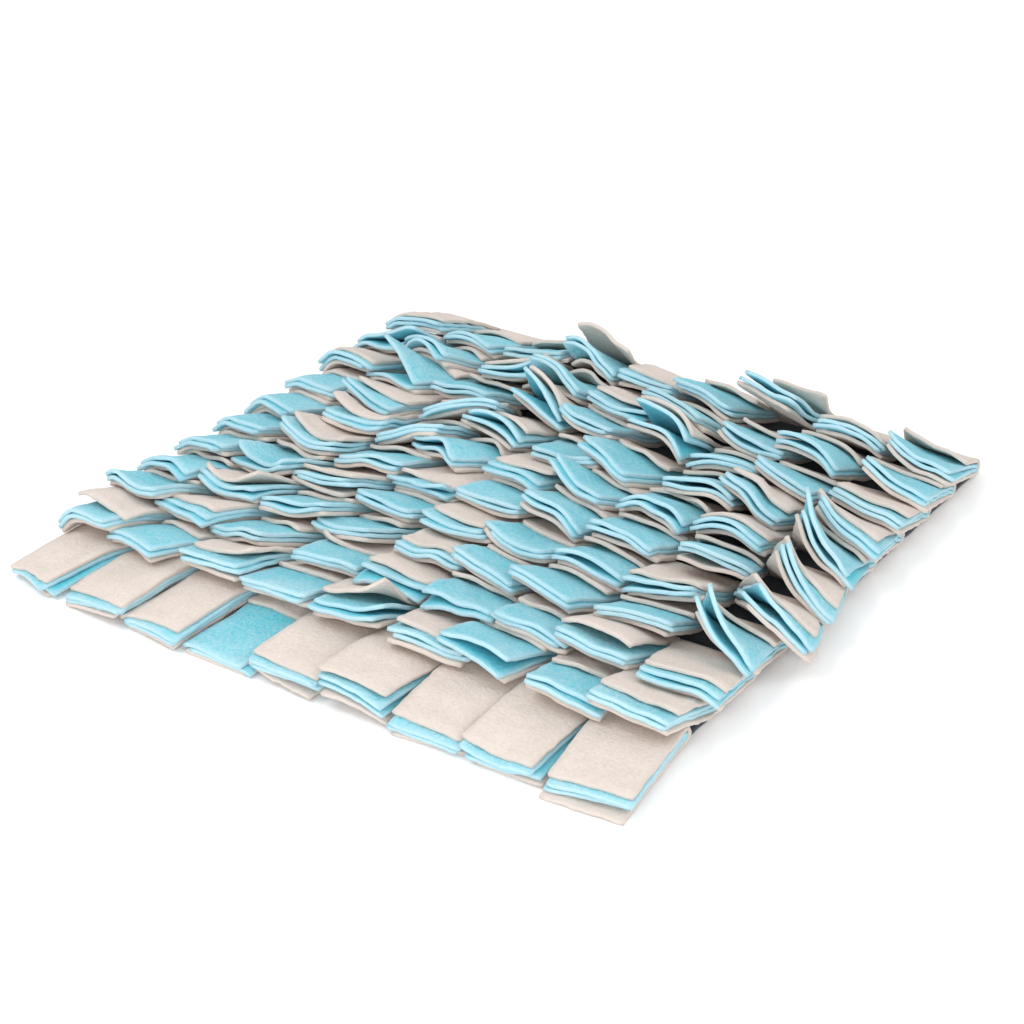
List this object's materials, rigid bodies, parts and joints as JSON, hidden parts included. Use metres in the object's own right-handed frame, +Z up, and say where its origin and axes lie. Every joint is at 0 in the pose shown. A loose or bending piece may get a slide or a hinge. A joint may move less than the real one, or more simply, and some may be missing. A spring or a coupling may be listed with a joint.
{
  "type": "snuffle mat",
  "caption": "Square felt mat covered with rows of folded fleece tabs in beige and light blue that overlap towards one edge, for hiding pet treats.",
  "frame": {"origin": "centre of the base sheet's underside, on the floor", "axes": "+Z up from the floor; -Y towards the front edge, over which the first row of tabs hangs; +X to the right along the rows"},
  "size_m": [0.4603, 0.5094, 0.0685],
  "materials": {
    "base_felt": "matt felt, dark slate grey",
    "beige_fleece": "soft napped fleece, warm beige",
    "blue_fleece": "soft napped fleece, light sky blue"
  },
  "bodies": {
    "root": {"base_sheet": "base_felt", "row_01_inner": "blue_fleece", "row_01_outer": "beige_fleece", "row_02_inner": "blue_fleece", "row_02_outer": "beige_fleece", "row_03_inner": "blue_fleece", "row_03_outer": "beige_fleece", "row_04_inner": "blue_fleece", "row_04_outer": "beige_fleece", "row_05_inner": "blue_fleece", "row_05_outer": "beige_fleece", "row_06_inner": "blue_fleece", "row_06_outer": "beige_fleece", "row_07_inner": "blue_fleece", "row_07_outer": "beige_fleece", "row_08_inner": "blue_fleece", "row_08_outer": "beige_fleece", "row_09_inner": "blue_fleece", "row_09_outer": "beige_fleece", "row_10_inner": "blue_fleece", "row_10_outer": "beige_fleece", "row_11_inner": "blue_fleece", "row_11_outer": "beige_fleece"}
  },
  "joints": []
}
